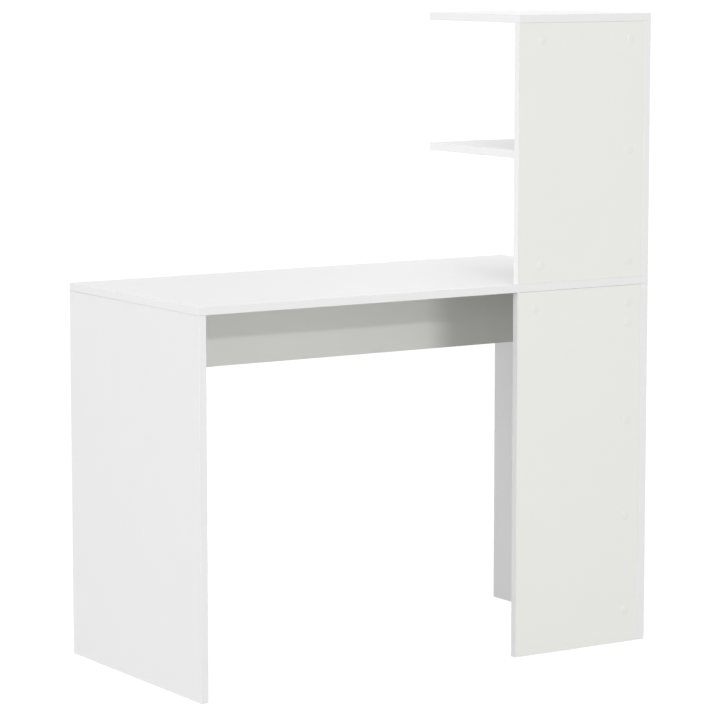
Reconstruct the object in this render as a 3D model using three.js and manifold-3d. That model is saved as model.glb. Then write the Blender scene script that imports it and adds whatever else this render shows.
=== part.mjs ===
// Flat-pack corner desk: nine laminated boards held together by cam locks and cam bolts.
//
// Millimetres, +Z up. The origin is on the floor, below the centre of the desktop.
// +X runs along the desktop towards the shelf tower, -Y is the sitter's side, +Y is the rear.
// The tower stands on the desktop's right end. It is closed at the front and on the right.

import * as THREE from "three";
import { ConvexGeometry } from "three/addons/geometries/ConvexGeometry.js";
import { mergeVertices } from "three/addons/utils/BufferGeometryUtils.js";
import Module from "manifold-3d";

const wasm = await Module();
wasm.setup();

// ---- Driving dimensions ----

// Whole desk
const BOARD = 15; // thickness of every board
const EDGE_CHAMFER = 0.5; // broken edge of the glued edge band
const DESK_WIDTH = 1020;
const DESK_DEPTH = 500;
const DESKTOP_HEIGHT = 730; // floor to the desktop's upper face
const TOTAL_HEIGHT = 1245;

// Shelf tower and the corner panel under it
const TOWER_WIDTH = 315; // left edge of the corner panels to the right side
const TOWER_DEPTH = 305;
const SHELF_INSET = 2; // the middle shelf's left end stands back this far

// Modesty rail
const RAIL_HEIGHT = 155;
const RAIL_SETBACK = 395; // front of the desk to the rail's front face
const RAIL_BOLT_PITCH = 96;

// Cam lock: a 15 mm zinc cam in a blind hole, and the bolt it pulls on
const CAM_INSET = 34; // joint plane to the cam's centre
const CAM_HOLE_RADIUS = 7.5;
const CAM_HOLE_DEPTH = 12.5;
const CAM_RADIUS = 7.2;
const CAM_HEIGHT = 12;
const CAM_SINK = 0.2; // the cam's face lies this far below the board's face
const BOLT_HOLE_RADIUS = 4;
const PILOT_RADIUS = 3.3;
const PILOT_DEPTH = 11.4;
const CLEARANCE = 0.3;
const CAM_SIDES = 16;
const BOLT_SIDES = 8;

// Cam bolt: radius at each place along its axis, from the screwed-in tip to the head.
// 0 is the joint plane, and the head lies in the cam.
const THREAD_TIP = -11;
const THREAD_RADIUS = 3;
const SHANK_RADIUS = 3.6;
const SHANK_END = 23;
const NECK_RADIUS = 1.9;
const HEAD_RADIUS = 3.3;
const HEAD_START = 31;
const HEAD_END = 36.5;

// Cross recess in the cam's face
const CROSS_LENGTH = 8;
const CROSS_WIDTH = 1.6;
const CROSS_DEPTH = 2;

// Where the cam locks sit along the boards
const SIDE_PANEL_CAM_Y = 190; // either side of the middle, in both side panels
const CORNER_COLUMN_BASE = 64; // lowest cam in the lower corner panel's right column
const CORNER_COLUMN_PITCH = 192;
const CORNER_COLUMN_COUNT = 4;
const LOWER_CORNER_LEFT_INSET = 42; // left edge of the corner panel to its left cam
const UPPER_CORNER_LEFT_INSET = 55; // further in, so that the bolts miss each other in the desktop
const TOWER_COLUMN_COUNT = 3;
const TOWER_SIDE_CAM_Y = [-120, 5];
const SHELF_CORNER_CAM_X = 300;
const SHELF_SIDE_CAM_Y = -40;

// ---- Levels worked out from them ----

const LEFT = -DESK_WIDTH / 2;
const RIGHT = DESK_WIDTH / 2;
const FRONT = -DESK_DEPTH / 2;
const REAR = DESK_DEPTH / 2;
const HALF_BOARD = BOARD / 2;
const DESKTOP_UNDERSIDE = DESKTOP_HEIGHT - BOARD;
const TOWER_LEFT = RIGHT - TOWER_WIDTH;
const TOWER_REAR = FRONT + TOWER_DEPTH;
const TOWER_PANEL_TOP = TOTAL_HEIGHT - BOARD;
const SHELF_MIDDLE = (DESKTOP_HEIGHT + TOWER_PANEL_TOP) / 2;
const INNER_LEFT = LEFT + BOARD;
const INNER_RIGHT = RIGHT - BOARD;
const RAIL_FRONT = FRONT + RAIL_SETBACK;
const RAIL_MIDDLE = DESKTOP_UNDERSIDE - RAIL_HEIGHT / 2;

// ---- Materials ----

const melamine = new THREE.MeshStandardMaterial({
  color: 0xf1f1ee,
  roughness: 0.45,
  metalness: 0,
  flatShading: true,
});
const zinc = new THREE.MeshStandardMaterial({
  color: 0x9c9ea1,
  roughness: 0.42,
  metalness: 0.9,
  flatShading: true,
});
const steel = new THREE.MeshStandardMaterial({
  color: 0xb9babc,
  roughness: 0.3,
  metalness: 1,
  flatShading: true,
});

// ---- Solids ----

function toSolid(geometry) {
  const bare = geometry.clone();
  bare.deleteAttribute("normal");
  bare.deleteAttribute("uv");
  const merged = mergeVertices(bare, 1e-4);
  const mesh = new wasm.Mesh({
    numProp: 3,
    vertProperties: new Float32Array(merged.attributes.position.array),
    triVerts: new Uint32Array(merged.index.array),
  });
  return new wasm.Manifold(mesh);
}

function toGeometry(solid) {
  const { vertProperties, triVerts } = solid.getMesh();
  const geometry = new THREE.BufferGeometry();
  geometry.setAttribute("position", new THREE.BufferAttribute(vertProperties, 3));
  geometry.setIndex(new THREE.BufferAttribute(triVerts, 1));
  return geometry;
}

// A box centred on the origin with every edge broken by EDGE_CHAMFER.
function chamferedBox(size) {
  const corners = [];
  for (const signX of [-1, 1]) {
    for (const signY of [-1, 1]) {
      for (const signZ of [-1, 1]) {
        for (const axis of ["x", "y", "z"]) {
          const corner = size.clone().multiplyScalar(0.5).subScalar(EDGE_CHAMFER);
          corner[axis] += EDGE_CHAMFER;
          corners.push(corner.multiply(new THREE.Vector3(signX, signY, signZ)));
        }
      }
    }
  }
  return new ConvexGeometry(corners);
}

// A cylinder along local X, from one place on that axis to another.
function rodAlongX(radius, from, to, sides) {
  const rod = new THREE.CylinderGeometry(radius, radius, to - from, sides);
  return rod.rotateZ(-Math.PI / 2).translate((from + to) / 2, 0, 0);
}

// A cylinder along local Z that is centred on the cam's axis.
function discOnCamAxis(radius, bottom, top) {
  const disc = new THREE.CylinderGeometry(radius, radius, top - bottom, CAM_SIDES);
  return disc.rotateX(Math.PI / 2).translate(CAM_INSET, 0, (bottom + top) / 2);
}

function boxBetween(low, high) {
  const size = high.map((value, axis) => value - low[axis]);
  const middle = high.map((value, axis) => (value + low[axis]) / 2);
  return new THREE.BoxGeometry(...size).translate(...middle);
}

// ---- Cam lock, in its own frame ----
//
// The origin is where the bolt's axis crosses the joint plane between two boards.
// Local +X runs along the bolt into the board that holds the cam, the panel.
// Local +Z points out of the panel's face that the cam hole opens in.
// The other board, the mate, lies on the -X side.

function camGeometry() {
  const face = HALF_BOARD - CAM_SINK;
  const head = HEAD_RADIUS + CLEARANCE + 0.1;
  const neck = NECK_RADIUS + CLEARANCE + 0.1;
  const pocketStart = HEAD_START - CLEARANCE - 0.1;
  const pocketEnd = HEAD_END + CLEARANCE + 0.1;
  const body = toSolid(discOnCamAxis(CAM_RADIUS, face - CAM_HEIGHT, face));
  const pocket = toSolid(boxBetween([pocketStart, -head, -head], [pocketEnd, head, head]));
  const mouth = toSolid(boxBetween([CAM_INSET - CAM_RADIUS - 1, -neck, -neck], [pocketEnd, neck, neck]));
  let cam = body.subtract(pocket).subtract(mouth);
  for (const [reachX, reachY] of [[CROSS_LENGTH, CROSS_WIDTH], [CROSS_WIDTH, CROSS_LENGTH]]) {
    const low = [CAM_INSET - reachX / 2, -reachY / 2, face - CROSS_DEPTH];
    const high = [CAM_INSET + reachX / 2, reachY / 2, face + 1];
    cam = cam.subtract(toSolid(boxBetween(low, high)));
  }
  return toGeometry(cam);
}

function boltGeometry() {
  const profile = [
    [0, THREAD_TIP],
    [THREAD_RADIUS - 1, THREAD_TIP],
    [THREAD_RADIUS, THREAD_TIP + 1.5],
    [THREAD_RADIUS, CLEARANCE],
    [SHANK_RADIUS, CLEARANCE],
    [SHANK_RADIUS, SHANK_END],
    [NECK_RADIUS, SHANK_END + 1],
    [NECK_RADIUS, HEAD_START],
    [HEAD_RADIUS, HEAD_START],
    [HEAD_RADIUS, HEAD_END],
    [0, HEAD_END],
  ];
  const points = profile.map(([radius, along]) => new THREE.Vector2(radius, along));
  return new THREE.LatheGeometry(points, BOLT_SIDES).rotateZ(-Math.PI / 2);
}

function camHole() {
  return discOnCamAxis(CAM_HOLE_RADIUS, HALF_BOARD - CAM_HOLE_DEPTH, HALF_BOARD + 1);
}

function boltHole() {
  return rodAlongX(BOLT_HOLE_RADIUS, -1, CAM_INSET, BOLT_SIDES);
}

function pilotHole() {
  return rodAlongX(PILOT_RADIUS, -PILOT_DEPTH, 1, BOLT_SIDES);
}

// ---- Boards: lowest and highest corner of each ----

const boards = {
  left_side_panel: [[LEFT, FRONT, 0], [INNER_LEFT, REAR, DESKTOP_UNDERSIDE]],
  right_side_panel: [[INNER_RIGHT, FRONT, 0], [RIGHT, REAR, DESKTOP_UNDERSIDE]],
  desktop: [[LEFT, FRONT, DESKTOP_UNDERSIDE], [RIGHT, REAR, DESKTOP_HEIGHT]],
  modesty_rail: [
    [INNER_LEFT, RAIL_FRONT, DESKTOP_UNDERSIDE - RAIL_HEIGHT],
    [INNER_RIGHT, RAIL_FRONT + BOARD, DESKTOP_UNDERSIDE],
  ],
  lower_corner_panel: [[TOWER_LEFT, FRONT, 0], [INNER_RIGHT, FRONT + BOARD, DESKTOP_UNDERSIDE]],
  upper_corner_panel: [
    [TOWER_LEFT, FRONT, DESKTOP_HEIGHT],
    [INNER_RIGHT, FRONT + BOARD, TOWER_PANEL_TOP],
  ],
  upper_side_panel: [[INNER_RIGHT, FRONT, DESKTOP_HEIGHT], [RIGHT, TOWER_REAR, TOWER_PANEL_TOP]],
  middle_shelf: [
    [TOWER_LEFT + SHELF_INSET, FRONT + BOARD, SHELF_MIDDLE - HALF_BOARD],
    [INNER_RIGHT, TOWER_REAR, SHELF_MIDDLE + HALF_BOARD],
  ],
  top_board: [[TOWER_LEFT, FRONT, TOWER_PANEL_TOP], [RIGHT, TOWER_REAR, TOTAL_HEIGHT]],
};

// ---- Cam joints ----
//
// at: the local frame's origin. inward: local +X, into the panel. opening: local +Z.

const X = new THREE.Vector3(1, 0, 0);
const Y = new THREE.Vector3(0, 1, 0);
const Z = new THREE.Vector3(0, 0, 1);
const minus = (axis) => axis.clone().negate();

const camJoints = [];

function addCamJoint(name, panel, mate, at, inward, opening) {
  camJoints.push({ name, panel, mate, at: new THREE.Vector3(...at), inward, opening });
}

for (const [place, y] of [["front", -SIDE_PANEL_CAM_Y], ["rear", SIDE_PANEL_CAM_Y]]) {
  const leftAt = [LEFT + HALF_BOARD, y, DESKTOP_UNDERSIDE];
  const rightAt = [RIGHT - HALF_BOARD, y, DESKTOP_UNDERSIDE];
  addCamJoint(`left_top_${place}`, "left_side_panel", "desktop", leftAt, minus(Z), X);
  addCamJoint(`right_top_${place}`, "right_side_panel", "desktop", rightAt, minus(Z), minus(X));
}

const cornerMiddle = FRONT + HALF_BOARD;
const lowerCornerTops = [
  ["left", TOWER_LEFT + LOWER_CORNER_LEFT_INSET],
  ["right", INNER_RIGHT - CAM_INSET],
];
for (const [place, x] of lowerCornerTops) {
  const at = [x, cornerMiddle, DESKTOP_UNDERSIDE];
  addCamJoint(`lower_corner_top_${place}`, "lower_corner_panel", "desktop", at, minus(Z), minus(Y));
}
for (let row = 0; row < CORNER_COLUMN_COUNT; row += 1) {
  const at = [INNER_RIGHT, cornerMiddle, CORNER_COLUMN_BASE + row * CORNER_COLUMN_PITCH];
  const name = `lower_corner_side_${row + 1}`;
  addCamJoint(name, "lower_corner_panel", "right_side_panel", at, minus(X), minus(Y));
}

for (const [place, rise] of [["lower", -RAIL_BOLT_PITCH / 2], ["upper", RAIL_BOLT_PITCH / 2]]) {
  const y = RAIL_FRONT + HALF_BOARD;
  const leftAt = [INNER_LEFT, y, RAIL_MIDDLE + rise];
  const rightAt = [INNER_RIGHT, y, RAIL_MIDDLE + rise];
  addCamJoint(`rail_left_${place}`, "modesty_rail", "left_side_panel", leftAt, X, Y);
  addCamJoint(`rail_right_${place}`, "modesty_rail", "right_side_panel", rightAt, minus(X), Y);
}

const towerEnds = [
  ["bottom", "desktop", DESKTOP_HEIGHT, Z],
  ["top", "top_board", TOWER_PANEL_TOP, minus(Z)],
];
for (const [end, mate, z, inward] of towerEnds) {
  const cornerAt = [TOWER_LEFT + UPPER_CORNER_LEFT_INSET, cornerMiddle, z];
  addCamJoint(`upper_corner_${end}`, "upper_corner_panel", mate, cornerAt, inward, minus(Y));
  for (const [index, place] of ["front", "rear"].entries()) {
    const sideAt = [RIGHT - HALF_BOARD, TOWER_SIDE_CAM_Y[index], z];
    addCamJoint(`upper_side_${end}_${place}`, "upper_side_panel", mate, sideAt, inward, minus(X));
  }
}
const towerColumnBase = DESKTOP_HEIGHT + CAM_INSET;
const towerColumnPitch = (TOWER_PANEL_TOP - CAM_INSET - towerColumnBase) / (TOWER_COLUMN_COUNT - 1);
for (let row = 0; row < TOWER_COLUMN_COUNT; row += 1) {
  const at = [INNER_RIGHT, cornerMiddle, towerColumnBase + row * towerColumnPitch];
  const name = `upper_corner_side_${row + 1}`;
  addCamJoint(name, "upper_corner_panel", "upper_side_panel", at, minus(X), minus(Y));
}

const shelfCornerAt = [SHELF_CORNER_CAM_X, FRONT + BOARD, SHELF_MIDDLE];
const shelfSideAt = [INNER_RIGHT, SHELF_SIDE_CAM_Y, SHELF_MIDDLE];
addCamJoint("shelf_corner", "middle_shelf", "upper_corner_panel", shelfCornerAt, Y, minus(Z));
addCamJoint("shelf_side", "middle_shelf", "upper_side_panel", shelfSideAt, minus(X), minus(Z));

function jointMatrix({ at, inward, opening }) {
  const sideways = new THREE.Vector3().crossVectors(opening, inward);
  return new THREE.Matrix4().makeBasis(inward, sideways, opening).setPosition(at);
}

// ---- Assembly ----

function boardMesh(name) {
  const low = new THREE.Vector3(...boards[name][0]);
  const high = new THREE.Vector3(...boards[name][1]);
  const middle = low.clone().add(high).multiplyScalar(0.5);
  const toBoard = new THREE.Matrix4().makeTranslation(minus(middle));
  let solid = toSolid(chamferedBox(high.clone().sub(low)));
  for (const joint of camJoints) {
    const place = toBoard.clone().multiply(jointMatrix(joint));
    const holes = [];
    if (joint.panel === name) holes.push(camHole(), boltHole());
    if (joint.mate === name) holes.push(pilotHole());
    for (const hole of holes) {
      solid = solid.subtract(toSolid(hole.applyMatrix4(place)));
    }
  }
  const mesh = new THREE.Mesh(toGeometry(solid), melamine);
  mesh.name = name;
  mesh.position.copy(middle);
  return mesh;
}

function camLock(joint, cam, bolt) {
  const lock = new THREE.Group();
  const camMesh = new THREE.Mesh(cam, zinc);
  camMesh.name = `cam_${joint.name}`;
  const boltMesh = new THREE.Mesh(bolt, steel);
  boltMesh.name = `bolt_${joint.name}`;
  lock.add(camMesh, boltMesh);
  lock.applyMatrix4(jointMatrix(joint));
  return lock;
}

const group = new THREE.Group();
for (const name of Object.keys(boards)) {
  group.add(boardMesh(name));
}
const cam = camGeometry();
const bolt = boltGeometry();
for (const joint of camJoints) {
  group.add(camLock(joint, cam, bolt));
}

export default group;
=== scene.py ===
"""White flat-pack corner desk: the looks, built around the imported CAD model. Metres, +Z up."""

import math

import bmesh
import bpy
from mathutils import Matrix, Vector


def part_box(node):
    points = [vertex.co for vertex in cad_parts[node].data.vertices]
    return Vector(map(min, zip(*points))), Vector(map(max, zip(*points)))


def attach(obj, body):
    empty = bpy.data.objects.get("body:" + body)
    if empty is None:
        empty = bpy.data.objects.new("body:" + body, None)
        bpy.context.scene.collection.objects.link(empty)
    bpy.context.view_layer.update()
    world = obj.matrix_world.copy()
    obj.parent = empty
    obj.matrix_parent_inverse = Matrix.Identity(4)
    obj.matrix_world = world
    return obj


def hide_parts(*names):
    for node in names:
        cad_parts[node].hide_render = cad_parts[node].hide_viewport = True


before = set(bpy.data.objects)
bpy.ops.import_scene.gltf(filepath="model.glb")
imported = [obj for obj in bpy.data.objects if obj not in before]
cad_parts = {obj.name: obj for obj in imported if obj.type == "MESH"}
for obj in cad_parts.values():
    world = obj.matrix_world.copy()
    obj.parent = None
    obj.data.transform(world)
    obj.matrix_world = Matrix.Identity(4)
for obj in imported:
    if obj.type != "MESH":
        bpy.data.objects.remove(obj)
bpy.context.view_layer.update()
scene = bpy.context.scene

MM = 0.001

# Boards
BOARDS = (
    "left_side_panel",
    "right_side_panel",
    "desktop",
    "modesty_rail",
    "lower_corner_panel",
    "upper_corner_panel",
    "upper_side_panel",
    "middle_shelf",
    "top_board",
)
WARM_BOARDS = ("modesty_rail", "lower_corner_panel", "upper_corner_panel")
HALF_BOARD = 7.5 * MM
BAND_THICKNESS = 1.0 * MM
BAND_EDGE_RADIUS = 0.45 * MM
BAND_CORNER_RADIUS = 0.5 * MM
LEAST_CORNER_RADIUS = 0.02 * MM
GLUE_LINE = 0.06 * MM  # width of the fine groove between the laminate and the edge band
TOP_GAPS = {  # how far a board's upper end stops short of the board above it
    "lower_corner_panel": 0.22 * MM,
    "left_side_panel": 0.15 * MM,
    "upper_corner_panel": 0.10 * MM,
}

# Faces smaller than this, in square metres, are shaded smooth
SLAB_SMOOTH_AREA = 2e-5  # the walls of the holes
BAND_SMOOTH_AREA = 1.2e-3  # the rounded edges too

# Cam locks, at the CAD model's sizes. Heights are above the bolt's axis
CAM_RADIUS = 7.2 * MM
CAM_TOP = 7.3 * MM
CAM_BOTTOM = -4.7 * MM
CAM_HOLE_RADIUS = 7.5 * MM
CAM_HOLE_BOTTOM = -5.0 * MM
CAM_INSET = 34.0 * MM  # from the joint to the cam's axis
BOLT_HOLE_RADIUS = 4.0 * MM
PILOT_RADIUS = 3.3 * MM
PILOT_DEPTH = 11.4 * MM
CUT_MARGIN = 1 * MM  # how far a cutter runs on past the face that it opens

# Cam bolt's thread. Places along the bolt are measured from the joint towards the head
THREAD_START = -11 * MM
THREAD_END = -0.6 * MM
THREAD_PITCH = 2.2 * MM
THREAD_RING_STEP = 0.275 * MM
THREAD_TAPER = 2 * MM
THREAD_TIP_SHARE = 0.6  # the tip's radius, as a share of the full one
THREAD_CORE_RADIUS = 2.0 * MM
THREAD_HEIGHT = 1.0 * MM

# Cover caps on the corner panels' front faces
CAP_RADIUS = 8.4 * MM
CAP_HEIGHT = 0.45 * MM
CAP_RIM_RADIUS = 0.35 * MM
CAP_CLEARANCE = 0.02 * MM

# Facets
ARC_STEPS = 5
ROUND_SIDES = 48
SMALL_SIDES = 24

# Bends sharper than this, in degrees, stay creases in smooth shading
CAST_CREASE = 35
THREAD_CREASE = 50

# Camera: from the front left and a little above. Angles in degrees
CAMERA_AZIMUTH = 32.78
CAMERA_ELEVATION = 7.49
CAMERA_PLACE = Vector((-3.3504, -5.1966, 1.3839))
CAMERA_LENS = 159.3

# Lights: name, azimuth and elevation in degrees, (width, height) in metres, power in watts
LIGHTS = (
    ("key_strip", 14.0, 13.7, (1.95, 0.20), 202),
    ("low_front_softbox", 12.0, 0.9, (2.0, 1.5), 246),
    ("side_softbox", 65.0, 13.0, (5.0, 4.0), 300),
    ("rear_softbox", -130.0, 14.0, (8.0, 5.0), 84),
)
LIGHT_DISTANCE = 12.0
LIT_POINT = Vector((0.2, 0, 0.7))

# Studio: direction that it is brighter in, strength
WORLD_LOBES = (
    ((-1, 0, 0), 0.72),
    ((0, 1, 0), 0.40),
    ((0, 0, 1), 0.55),
)
SEEN_WHITE = 1.05  # how bright the floor and the backdrop look
FLOOR_ALBEDO = 0.3
FLOOR_GLOW = 0.19
FLOOR_REACH = 30
FLOOR_THICKNESS = 0.02
PLAIN_WHITE = (1, 1, 1, 1)


# ---- Meshes ----


def make_object(name, mesh):
    piece = bpy.data.objects.new(name, mesh)
    scene.collection.objects.link(piece)
    return piece


def mesh_from(name, vertices, faces):
    mesh = bpy.data.meshes.new(name)
    mesh.from_pydata(vertices, [], faces)
    mesh.validate()
    return mesh


def rectangle_loop(half_u, half_v, radius, w):
    """Points of a rectangle with round corners, counter-clockwise, at height w."""
    points = []
    for corner, (side_u, side_v) in enumerate(((1, 1), (-1, 1), (-1, -1), (1, -1))):
        centre_u = side_u * (half_u - radius)
        centre_v = side_v * (half_v - radius)
        for step in range(ARC_STEPS + 1):
            angle = math.pi / 2 * (corner + step / ARC_STEPS)
            u = centre_u + radius * math.cos(angle)
            v = centre_v + radius * math.sin(angle)
            points.append((u, v, w))
    return points


def bridge_loops(loops, closed):
    """Quads between loops of equal length.

    closed joins the last loop to the first. If it is false, both ends get a cap.
    """
    count = len(loops[0])
    vertices = [point for loop in loops for point in loop]
    faces = []
    for row in range(len(loops) if closed else len(loops) - 1):
        here = row * count
        there = (row + 1) % len(loops) * count
        for i in range(count):
            j = (i + 1) % count
            faces.append((here + i, here + j, there + j, there + i))
    if not closed:
        end = len(vertices)
        faces.append(tuple(range(count))[::-1])
        faces.append(tuple(range(end - count, end)))
    return vertices, faces


def slab_mesh(name, half_u, half_v):
    """The laminated core between the edge bands, with a fine groove along its border."""
    u = half_u - BAND_THICKNESS
    v = half_v - BAND_THICKNESS
    levels = (
        (u - GLUE_LINE, v - GLUE_LINE, -HALF_BOARD),
        (u, v, GLUE_LINE - HALF_BOARD),
        (u, v, HALF_BOARD - GLUE_LINE),
        (u - GLUE_LINE, v - GLUE_LINE, HALF_BOARD),
    )
    loops = [[(-a, -b, w), (a, -b, w), (a, b, w), (-a, b, w)] for a, b, w in levels]
    return mesh_from(name, *bridge_loops(loops, closed=False))


def band_profile():
    """(inset, height) of the edge band's section, round the outside and back along the glue face."""
    upper_arc = []
    for step in range(ARC_STEPS + 1):
        angle = math.pi / 2 * step / ARC_STEPS
        inset = BAND_EDGE_RADIUS * (1 - math.cos(angle))
        height = HALF_BOARD - BAND_EDGE_RADIUS * (1 - math.sin(angle))
        upper_arc.append((inset, height))
    upper = upper_arc + [(BAND_THICKNESS, HALF_BOARD)]
    lower = [(inset, -height) for inset, height in reversed(upper)]
    return lower + upper


def band_mesh(name, half_u, half_v):
    """The edge band: one closed strip round all four edges of a board."""
    loops = []
    for inset, w in band_profile():
        radius = max(BAND_CORNER_RADIUS - inset, LEAST_CORNER_RADIUS)
        loops.append(rectangle_loop(half_u - inset, half_v - inset, radius, w))
    return mesh_from(name, *bridge_loops(loops, closed=True))


def lathe_mesh(name, profile, sides):
    """A solid turned about local Z. profile lists (radius, height), from axis to axis."""
    vertices = [(0, 0, profile[0][1])]
    inner = profile[1:-1]
    for radius, height in inner:
        for i in range(sides):
            angle = 2 * math.pi * i / sides
            vertices.append((radius * math.cos(angle), radius * math.sin(angle), height))
    vertices.append((0, 0, profile[-1][1]))
    end = len(vertices) - 1
    last = end - sides
    faces = []
    for i in range(sides):
        j = (i + 1) % sides
        faces.append((0, 1 + j, 1 + i))
        faces.append((end, last + i, last + j))
        for row in range(len(inner) - 1):
            here = 1 + row * sides
            there = here + sides
            faces.append((here + i, here + j, there + j, there + i))
    return mesh_from(name, vertices, faces)


def cylinder_mesh(name, radius, bottom, top, sides=ROUND_SIDES):
    return lathe_mesh(name, [(0, bottom), (radius, bottom), (radius, top), (0, top)], sides)


def box_mesh(name, low, high):
    bm = bmesh.new()
    bmesh.ops.create_cube(bm, size=1)
    size = Vector(high) - Vector(low)
    middle = (Vector(high) + Vector(low)) / 2
    bmesh.ops.transform(bm, matrix=Matrix.LocRotScale(middle, None, size), verts=bm.verts)
    mesh = bpy.data.meshes.new(name)
    bm.to_mesh(mesh)
    bm.free()
    return mesh


def combine(piece, others, operation):
    """Cuts away or joins on other meshes, (mesh, matrix) pairs, which keep their materials."""
    tools = []
    for mesh, matrix in others:
        tool = make_object("tool", mesh)
        tool.matrix_world = matrix
        tools.append(tool)
        boolean = piece.modifiers.new("combine", "BOOLEAN")
        boolean.object = tool
        boolean.operation = operation
        boolean.solver = "EXACT"
        boolean.material_mode = "TRANSFER"
    bpy.context.view_layer.update()
    graph = bpy.context.evaluated_depsgraph_get()
    made = bpy.data.meshes.new_from_object(piece.evaluated_get(graph))
    piece.modifiers.clear()
    piece.data = made
    for tool in tools:
        bpy.data.objects.remove(tool)


def shade_round(mesh, crease=CAST_CREASE):
    """Shades a turned or cast piece smooth, with a crease wherever it bends more sharply."""
    mesh.shade_smooth()
    mesh.set_sharp_from_angle(angle=math.radians(crease))


def combined_mesh(base, others, operation, material):
    """One mesh of a base with others cut away from it or joined to it, all of one material."""
    for mesh in (base, *others):
        mesh.materials.append(material)
    piece = make_object(base.name, base)
    combine(piece, [(mesh, Matrix.Identity(4)) for mesh in others], operation)
    made = piece.data
    bpy.data.objects.remove(piece)
    shade_round(made)
    return made


def smooth_small_faces(mesh, largest):
    """Shades faces smaller than largest smooth, and leaves the broad faces flat."""
    for face in mesh.polygons:
        face.use_smooth = face.area < largest


# ---- Materials ----


class Nodes:
    """A short way to write a material's node tree. Noise is in the object's own metres."""

    def __init__(self, name):
        self.material = bpy.data.materials.new(name)
        self.material.use_nodes = True
        self.tree = self.material.node_tree
        self.shader = self.tree.nodes["Principled BSDF"]
        self.position = self.add("ShaderNodeTexCoord").outputs["Object"]

    def add(self, kind, **values):
        node = self.tree.nodes.new(kind)
        for key, value in values.items():
            if key in node.inputs:
                node.inputs[key].default_value = value
            else:
                setattr(node, key, value)
        return node

    def link(self, output, target):
        self.tree.links.new(output, target)

    def stretched(self, scale):
        mapping = self.add("ShaderNodeMapping", Scale=scale)
        self.link(self.position, mapping.inputs["Vector"])
        return mapping.outputs["Vector"]

    def noise(self, scale, detail=3.0, roughness=0.5, vector=None):
        node = self.add("ShaderNodeTexNoise", Scale=scale, Detail=detail, Roughness=roughness)
        self.link(vector or self.position, node.inputs["Vector"])
        return node.outputs["Fac"]

    def ramp(self, value, stops):
        """A colour ramp. stops lists (place, colour)."""
        node = self.add("ShaderNodeValToRGB")
        elements = node.color_ramp.elements
        while len(elements) < len(stops):
            elements.new(0.5)
        for element, (place, colour) in zip(elements, stops):
            element.position = place
            element.color = (*colour, 1)
        self.link(value, node.inputs["Fac"])
        return node.outputs["Color"]

    def bump(self, height, strength, distance, under=None):
        node = self.add("ShaderNodeBump", Strength=strength, Distance=distance)
        self.link(height, node.inputs["Height"])
        if under:
            self.link(under, node.inputs["Normal"])
        return node.outputs["Normal"]

    def base_colour(self, value, stops):
        self.link(self.ramp(value, stops), self.shader.inputs["Base Color"])

    def roughness(self, value, low, high):
        """Roughness that follows a value, from low at 0 to high at 1."""
        node = self.add("ShaderNodeMapRange")
        node.inputs["To Min"].default_value = low
        node.inputs["To Max"].default_value = high
        self.link(value, node.inputs["Value"])
        self.link(node.outputs["Result"], self.shader.inputs["Roughness"])

    def relief(self, normal):
        self.link(normal, self.shader.inputs["Normal"])

    def uniform(self, name, value):
        self.shader.inputs[name].default_value = value


def shade(colour, factor):
    return tuple(channel * factor for channel in colour)


def melamine(name, colour):
    """Satin melamine laminate: a fine pearl texture over faint chipboard waviness."""
    n = Nodes(name)
    mottle = n.noise(scale=14, detail=4, roughness=0.6)
    n.base_colour(mottle, ((0.3, shade(colour, 0.994)), (0.7, shade(colour, 1.004))))
    n.roughness(n.noise(scale=90), 0.40, 0.48)
    waves = n.bump(n.noise(scale=45, detail=2), strength=0.25, distance=0.04 * MM)
    pearl = n.noise(scale=1300, detail=2)
    n.relief(n.bump(pearl, strength=0.2, distance=0.03 * MM, under=waves))
    n.uniform("Specular IOR Level", SATIN_SPECULAR)
    return n.material


def edge_band(name, colour):
    """ABS edge band, about as satin as the laminate but without its waviness."""
    n = Nodes(name)
    n.base_colour(n.noise(scale=25), ((0.3, shade(colour, 0.992)), (0.7, colour)))
    n.roughness(n.noise(scale=300), 0.42, 0.50)
    n.relief(n.bump(n.noise(scale=420, detail=2), strength=0.12, distance=0.02 * MM))
    n.uniform("Specular IOR Level", SATIN_SPECULAR)
    return n.material


def chipboard(name):
    """Raw chipboard where a hole cuts through the laminate."""
    n = Nodes(name)
    chips = n.add("ShaderNodeTexVoronoi", Scale=700.0)
    n.link(n.stretched((1.0, 0.45, 0.8)), chips.inputs["Vector"])
    fibre = n.noise(scale=1600, detail=5, roughness=0.7)
    blend = n.add("ShaderNodeMix", data_type="FLOAT")
    blend.inputs["Factor"].default_value = 0.5
    n.link(chips.outputs["Distance"], blend.inputs["A"])
    n.link(fibre, blend.inputs["B"])
    grain = blend.outputs["Result"]
    dark, middle, pale = (0.21, 0.13, 0.07), (0.42, 0.29, 0.17), (0.60, 0.46, 0.30)
    n.base_colour(grain, ((0.2, dark), (0.45, middle), (0.7, pale)))
    n.relief(n.bump(grain, strength=0.7, distance=0.25 * MM))
    n.uniform("Roughness", 0.85)
    return n.material


def cast_zinc(name):
    """Dull die-cast zinc, slightly grainy."""
    n = Nodes(name)
    grain = n.noise(scale=900, detail=5, roughness=0.65)
    n.base_colour(grain, ((0.3, (0.42, 0.43, 0.44)), (0.7, (0.63, 0.64, 0.65))))
    n.roughness(grain, 0.38, 0.58)
    n.relief(n.bump(grain, strength=0.4, distance=0.05 * MM))
    n.uniform("Metallic", 1.0)
    return n.material


def bright_steel(name):
    """Bright plated steel, with fine faint lines."""
    n = Nodes(name)
    lines = n.noise(scale=1800, detail=3, vector=n.stretched((1.0, 1.0, 0.2)))
    n.base_colour(lines, ((0.3, (0.62, 0.63, 0.64)), (0.7, (0.78, 0.78, 0.79))))
    n.roughness(lines, 0.20, 0.36)
    n.relief(n.bump(lines, strength=0.25, distance=0.02 * MM))
    n.uniform("Metallic", 1.0)
    return n.material


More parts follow.
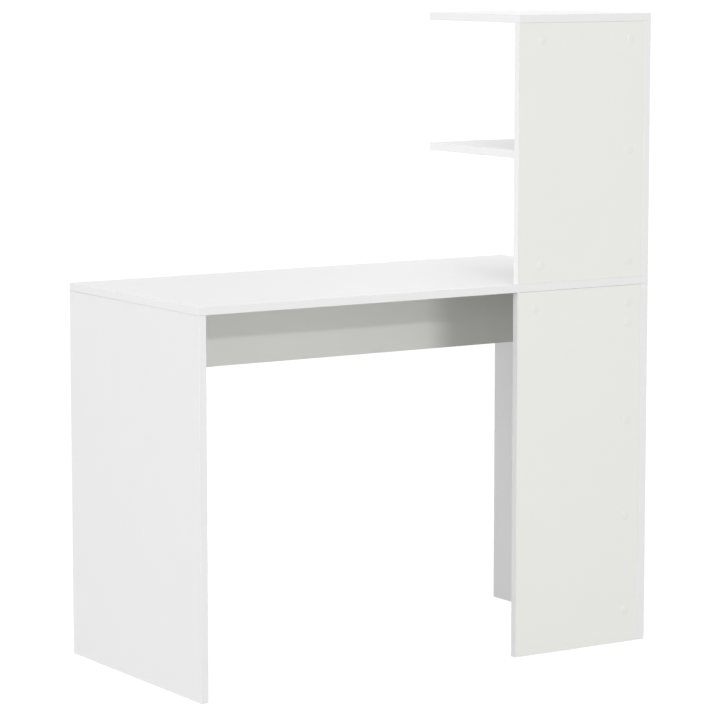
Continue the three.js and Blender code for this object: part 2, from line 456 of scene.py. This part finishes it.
def cap_plastic(name, colour):
    """Moulded plastic of the cover caps, a little glossier than the boards."""
    n = Nodes(name)
    n.base_colour(n.noise(scale=200), ((0.3, shade(colour, 0.985)), (0.7, colour)))
    n.roughness(n.noise(scale=500), 0.34, 0.44)
    n.relief(n.bump(n.noise(scale=1500, detail=2), strength=0.3, distance=0.02 * MM))
    return n.material


SATIN_SPECULAR = 0.45
NEUTRAL_WHITE = (0.760, 0.760, 0.760)
WARM_WHITE = (0.757, 0.763, 0.724)
CAP_WHITE = (0.752, 0.757, 0.722)

neutral_laminate = melamine("melamine_neutral", NEUTRAL_WHITE)
warm_laminate = melamine("melamine_warm", WARM_WHITE)
white_band = edge_band("edge_band_white", NEUTRAL_WHITE)
raw_chipboard = chipboard("chipboard_raw")
zinc = cast_zinc("zinc_cast")
steel = bright_steel("steel_bright")
cap_white = cap_plastic("cap_plastic_white", CAP_WHITE)


# ---- Cam locks: where the CAD model has them ----


def axis_vector(axis, sign):
    vector = Vector((0, 0, 0))
    vector[axis] = sign
    return vector


def middle_of(node):
    low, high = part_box(node)
    return (low + high) / 2


def cam_frame(cam_node):
    """Local frame of a cam lock, with its origin at the cam, on the bolt's axis.

    +X runs on from the bolt, and +Z out of the board's face.
    """
    bolt_node = "bolt_" + cam_node.removeprefix("cam_")
    bolt_low, bolt_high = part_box(bolt_node)
    cam_low, cam_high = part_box(cam_node)
    bolt_size = bolt_high - bolt_low
    cam_size = cam_high - cam_low
    along = max(range(3), key=lambda axis: bolt_size[axis])
    out = min(range(3), key=lambda axis: cam_size[axis])
    offset = middle_of(cam_node) - middle_of(bolt_node)
    inward = axis_vector(along, math.copysign(1, offset[along]))
    opening = axis_vector(out, math.copysign(1, offset[out]))
    origin = middle_of(cam_node)
    origin[out] = middle_of(bolt_node)[out]
    turn = Matrix((inward, opening.cross(inward), opening)).transposed()
    return Matrix.Translation(origin) @ turn.to_4x4()


def holds(board, point):
    low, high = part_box(board)
    return all(low[axis] < point[axis] < high[axis] for axis in range(3))


CAM_NODES = sorted(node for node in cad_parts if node.startswith("cam_"))
CAM_FRAMES = {node: cam_frame(node) for node in CAM_NODES}
ALONG_X = Matrix.Rotation(math.pi / 2, 4, "Y")


def hole_cutters(board):
    """The cam holes, bolt holes and pilot holes that the cam locks need in one board."""
    cutters = []
    for matrix in CAM_FRAMES.values():
        along_bolt = matrix @ ALONG_X
        if holds(board, matrix.translation):
            top = HALF_BOARD + CUT_MARGIN
            hole = cylinder_mesh("cam_hole", CAM_HOLE_RADIUS, CAM_HOLE_BOTTOM, top)
            bottom = -CAM_INSET - CUT_MARGIN
            bore = cylinder_mesh("bolt_hole", BOLT_HOLE_RADIUS, bottom, 0, SMALL_SIDES)
            cutters += [(hole, matrix), (bore, along_bolt)]
        tip = matrix @ Vector((-CAM_INSET - PILOT_DEPTH / 2, 0, 0))
        if holds(board, tip):
            bottom = -CAM_INSET - PILOT_DEPTH
            top = CUT_MARGIN - CAM_INSET
            pilot = cylinder_mesh("pilot_hole", PILOT_RADIUS, bottom, top, SMALL_SIDES)
            cutters.append((pilot, along_bolt))
    for mesh, _ in cutters:
        mesh.materials.append(raw_chipboard)
    return cutters


# ---- Boards ----


def board_frame(low, high):
    """A board's local frame, with +Z through its thickness, and half its length and width."""
    size = high - low
    thin = min(range(3), key=lambda axis: size[axis])
    u_axis, v_axis = (thin + 1) % 3, (thin + 2) % 3
    columns = [axis_vector(axis, 1) for axis in (u_axis, v_axis, thin)]
    turn = Matrix(columns).transposed().to_4x4()
    return Matrix.Translation((low + high) / 2) @ turn, size[u_axis] / 2, size[v_axis] / 2


def make_board(node):
    """A board's laminated slab and its edge band, with the holes for the cam locks."""
    low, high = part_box(node)
    high.z -= TOP_GAPS.get(node, 0)
    matrix, half_u, half_v = board_frame(low, high)
    laminate = warm_laminate if node in WARM_BOARDS else neutral_laminate
    cutters = hole_cutters(node)
    parts = (
        (f"{node}_slab", slab_mesh, laminate, SLAB_SMOOTH_AREA),
        (f"{node}_edge_band", band_mesh, white_band, BAND_SMOOTH_AREA),
    )
    for name, shape_mesh, material, smooth_area in parts:
        mesh = shape_mesh(name, half_u, half_v)
        mesh.transform(matrix)
        mesh.materials.append(material)
        piece = make_object(name, mesh)
        combine(piece, cutters, "DIFFERENCE")
        smooth_small_faces(piece.data, smooth_area)
        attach(piece, "root")
    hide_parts(node)


for board_node in BOARDS:
    make_board(board_node)


# ---- Cam locks ----


def cam_mesh():
    """Die-cast cam: chamfered drum, cross recess, pointer notch, and the slot for the bolt's head."""
    chamfer = 0.4 * MM
    dish_radius = 5.4 * MM
    dish_slope = 0.2 * MM
    dish_depth = 0.25 * MM
    profile = (
        (0, CAM_BOTTOM),
        (CAM_RADIUS - chamfer, CAM_BOTTOM),
        (CAM_RADIUS, CAM_BOTTOM + chamfer),
        (CAM_RADIUS, CAM_TOP - chamfer),
        (CAM_RADIUS - chamfer, CAM_TOP),
        (dish_radius, CAM_TOP),
        (dish_radius - dish_slope, CAM_TOP - dish_depth),
        (0, CAM_TOP - dish_depth),
    )
    outside = -CAM_RADIUS - CUT_MARGIN
    over = CAM_TOP + CUT_MARGIN
    neck = 2.3 * MM
    head = 3.7 * MM
    head_start = -3.4 * MM
    slot_end = 2.9 * MM
    long_arm = 4.0 * MM
    short_arm = 0.85 * MM
    recess_floor = CAM_TOP - 2.3 * MM
    notch = 0.5 * MM
    notch_end = -5.6 * MM
    notch_floor = CAM_TOP - 0.8 * MM
    shapes = (
        ((outside, -neck, -neck), (slot_end, neck, neck)),
        ((head_start, -head, -head), (slot_end, head, head)),
        ((-long_arm, -short_arm, recess_floor), (long_arm, short_arm, over)),
        ((-short_arm, -long_arm, recess_floor), (short_arm, long_arm, over)),
        ((outside, -notch, notch_floor), (notch_end, notch, over)),
    )
    drum = lathe_mesh("cam", profile, ROUND_SIDES)
    cutters = [box_mesh("cam_cutter", low, high) for low, high in shapes]
    return combined_mesh(drum, cutters, "DIFFERENCE", zinc)


def thread_radius(along, turn):
    """Radius of the cam bolt's thread at a place along it, and a turn from 0 to 1 about it."""
    taper = min(1, (along - THREAD_START) / THREAD_TAPER)
    crest = abs(2 * ((along / THREAD_PITCH - turn) % 1) - 1) ** 2
    full = THREAD_CORE_RADIUS + THREAD_HEIGHT * crest
    return full * (THREAD_TIP_SHARE + (1 - THREAD_TIP_SHARE) * taper)


def bolt_mesh():
    """Cam bolt: coarse thread in the mating board, collar, shank, neck and head."""
    rings = []
    for ring in range(round((THREAD_END - THREAD_START) / THREAD_RING_STEP)):
        along = THREAD_START + ring * THREAD_RING_STEP
        rings.append((along, [thread_radius(along, i / SMALL_SIDES) for i in range(SMALL_SIDES)]))
    plain = (  # millimetres along the bolt, radius in millimetres
        (0.3, 2.2),
        (0.3, 3.6),
        (2.3, 3.6),
        (2.6, 3.2),
        (22.6, 3.2),
        (23.6, 1.9),
        (30.6, 1.9),
        (31.0, 2.6),
        (31.6, 3.3),
        (35.6, 3.3),
        (36.3, 2.6),
    )
    for along, radius in plain:
        rings.append((along * MM, [radius * MM] * SMALL_SIDES))
    loops = []
    for along, radii in rings:
        loop = []
        for i, radius in enumerate(radii):
            angle = 2 * math.pi * i / SMALL_SIDES
            loop.append((along - CAM_INSET, radius * math.cos(angle), radius * math.sin(angle)))
        loops.append(loop)
    mesh = mesh_from("cam_bolt", *bridge_loops(loops, closed=False))
    mesh.materials.append(steel)
    shade_round(mesh, THREAD_CREASE)
    return mesh


def cap_mesh():
    """Push-in cover cap: a thin disc with a soft rim, on a cross peg that sits in the cam's recess."""
    bottom = HALF_BOARD + CAP_CLEARANCE
    top = HALF_BOARD + CAP_HEIGHT
    profile = [(0, bottom), (CAP_RADIUS, bottom)]
    for step in range(ARC_STEPS + 1):
        angle = math.pi / 2 * step / ARC_STEPS
        radius = CAP_RADIUS - CAP_RIM_RADIUS * (1 - math.cos(angle))
        height = top - CAP_RIM_RADIUS * (1 - math.sin(angle))
        profile.append((radius, height))
    profile.append((0, top))
    disc = lathe_mesh("cover_cap", profile, ROUND_SIDES)
    peg_bottom = CAM_TOP - 1.8 * MM
    peg_top = HALF_BOARD + 0.1 * MM
    long_arm = 3.6 * MM
    short_arm = 0.6 * MM
    pegs = []
    for x, y in ((long_arm, short_arm), (short_arm, long_arm)):
        pegs.append(box_mesh("peg", (-x, -y, peg_bottom), (x, y, peg_top)))
    return combined_mesh(disc, pegs, "UNION", cap_white)


def opens_to_front(matrix):
    """Whether a cam lock's hole opens in a face that looks along -Y."""
    return matrix.col[2].y < -0.5


def place(name, mesh, matrix, slot):
    piece = make_object(name, mesh)
    piece.matrix_world = matrix
    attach(piece, "root")
    return piece


CAM_MESH = cam_mesh()
BOLT_MESH = bolt_mesh()
CAP_MESH = cap_mesh()

for cam_node, matrix in CAM_FRAMES.items():
    joint = cam_node.removeprefix("cam_")
    drum = place(f"drum_{joint}", CAM_MESH, matrix, "zinc_cam")
    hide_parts(cam_node)
    screw = place(f"screw_{joint}", BOLT_MESH, matrix, "steel_bolt")
    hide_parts(f"bolt_{joint}")
    if opens_to_front(matrix):
        place(f"cover_cap_{joint}", CAP_MESH, matrix, "melamine_board")


# ---- Stage: floor, world, lights, camera ----


def show_camera(tree, seen, lit, output):
    """Shows the shader seen to the camera only, and the shader lit to every other ray."""
    mix = tree.nodes.new("ShaderNodeMixShader")
    path = tree.nodes.new("ShaderNodeLightPath")
    tree.links.new(path.outputs["Is Camera Ray"], mix.inputs["Fac"])
    tree.links.new(lit, mix.inputs[1])
    tree.links.new(seen, mix.inputs[2])
    tree.links.new(mix.outputs["Shader"], tree.nodes[output].inputs["Surface"])


def make_floor():
    """A wide pale floor. It shows as white, and gives back less light than it seems to."""
    low = (-FLOOR_REACH, -FLOOR_REACH, -FLOOR_THICKNESS)
    high = (FLOOR_REACH, FLOOR_REACH, 0)
    floor = make_object("floor", box_mesh("floor", low, high))
    material = bpy.data.materials.new("floor_white")
    material.use_nodes = True
    tree = material.node_tree
    shader = tree.nodes["Principled BSDF"]
    shader.inputs["Base Color"].default_value = (FLOOR_ALBEDO, FLOOR_ALBEDO, FLOOR_ALBEDO, 1)
    shader.inputs["Roughness"].default_value = 1.0
    shader.inputs["Specular IOR Level"].default_value = 0.0
    shader.inputs["Emission Color"].default_value = PLAIN_WHITE
    shader.inputs["Emission Strength"].default_value = FLOOR_GLOW
    seen = tree.nodes.new("ShaderNodeEmission")
    seen.inputs["Color"].default_value = PLAIN_WHITE
    seen.inputs["Strength"].default_value = SEEN_WHITE
    show_camera(tree, seen.outputs["Emission"], shader.outputs["BSDF"], "Material Output")
    floor.data.materials.append(material)


def make_world():
    """Soft studio light from all round, the sum of wide lobes that each brighten one side.

    The camera sees the backdrop itself as pure white.
    """
    world = bpy.data.worlds.new("studio")
    world.use_nodes = True
    scene.world = world
    tree = world.node_tree

    def multiply_add(value, factor, addend):
        node = tree.nodes.new("ShaderNodeMath")
        node.operation = "MULTIPLY_ADD"
        tree.links.new(value, node.inputs[0])
        node.inputs[1].default_value = factor
        if isinstance(addend, bpy.types.NodeSocket):
            tree.links.new(addend, node.inputs[2])
        else:
            node.inputs[2].default_value = addend
        return node.outputs["Value"]

    direction = tree.nodes.new("ShaderNodeTexCoord").outputs["Generated"]
    total = 0.0
    for towards, strength in WORLD_LOBES:
        dot = tree.nodes.new("ShaderNodeVectorMath")
        dot.operation = "DOT_PRODUCT"
        tree.links.new(direction, dot.inputs[0])
        dot.inputs[1].default_value = towards
        facing = multiply_add(dot.outputs["Value"], 0.5, 0.5)
        total = multiply_add(facing, strength, total)

    light = tree.nodes["Background"]
    tree.links.new(total, light.inputs["Strength"])
    backdrop = tree.nodes.new("ShaderNodeBackground")
    backdrop.inputs["Strength"].default_value = SEEN_WHITE
    for background in (light, backdrop):
        background.inputs["Color"].default_value = PLAIN_WHITE
    show_camera(tree, backdrop.outputs["Background"], light.outputs["Background"], "World Output")


def area_light(name, azimuth, elevation, size, power):
    """A rectangular light. Azimuth 0 is straight in front of the desk, and positive is to its left."""
    a, e = math.radians(azimuth), math.radians(elevation)
    towards = Vector((-math.sin(a) * math.cos(e), -math.cos(a) * math.cos(e), math.sin(e)))
    data = bpy.data.lights.new(name, "AREA")
    data.shape = "RECTANGLE"
    data.size, data.size_y = size
    data.energy = power
    lamp = bpy.data.objects.new(name, data)
    lamp.location = LIT_POINT + towards * LIGHT_DISTANCE
    lamp.rotation_mode = "QUATERNION"
    lamp.rotation_quaternion = towards.to_track_quat("Z", "Y")
    lamp.visible_camera = False
    scene.collection.objects.link(lamp)


def make_camera():
    data = bpy.data.cameras.new("camera")
    data.lens = CAMERA_LENS
    camera = bpy.data.objects.new("camera", data)
    camera.location = CAMERA_PLACE
    tilt = math.radians(90 - CAMERA_ELEVATION)
    camera.rotation_euler = (tilt, 0, -math.radians(CAMERA_AZIMUTH))
    scene.collection.objects.link(camera)
    scene.camera = camera


make_floor()
make_world()
for name, azimuth, elevation, size, power in LIGHTS:
    area_light(name, azimuth, elevation, size, power)
make_camera()
scene.view_settings.view_transform = "Standard"
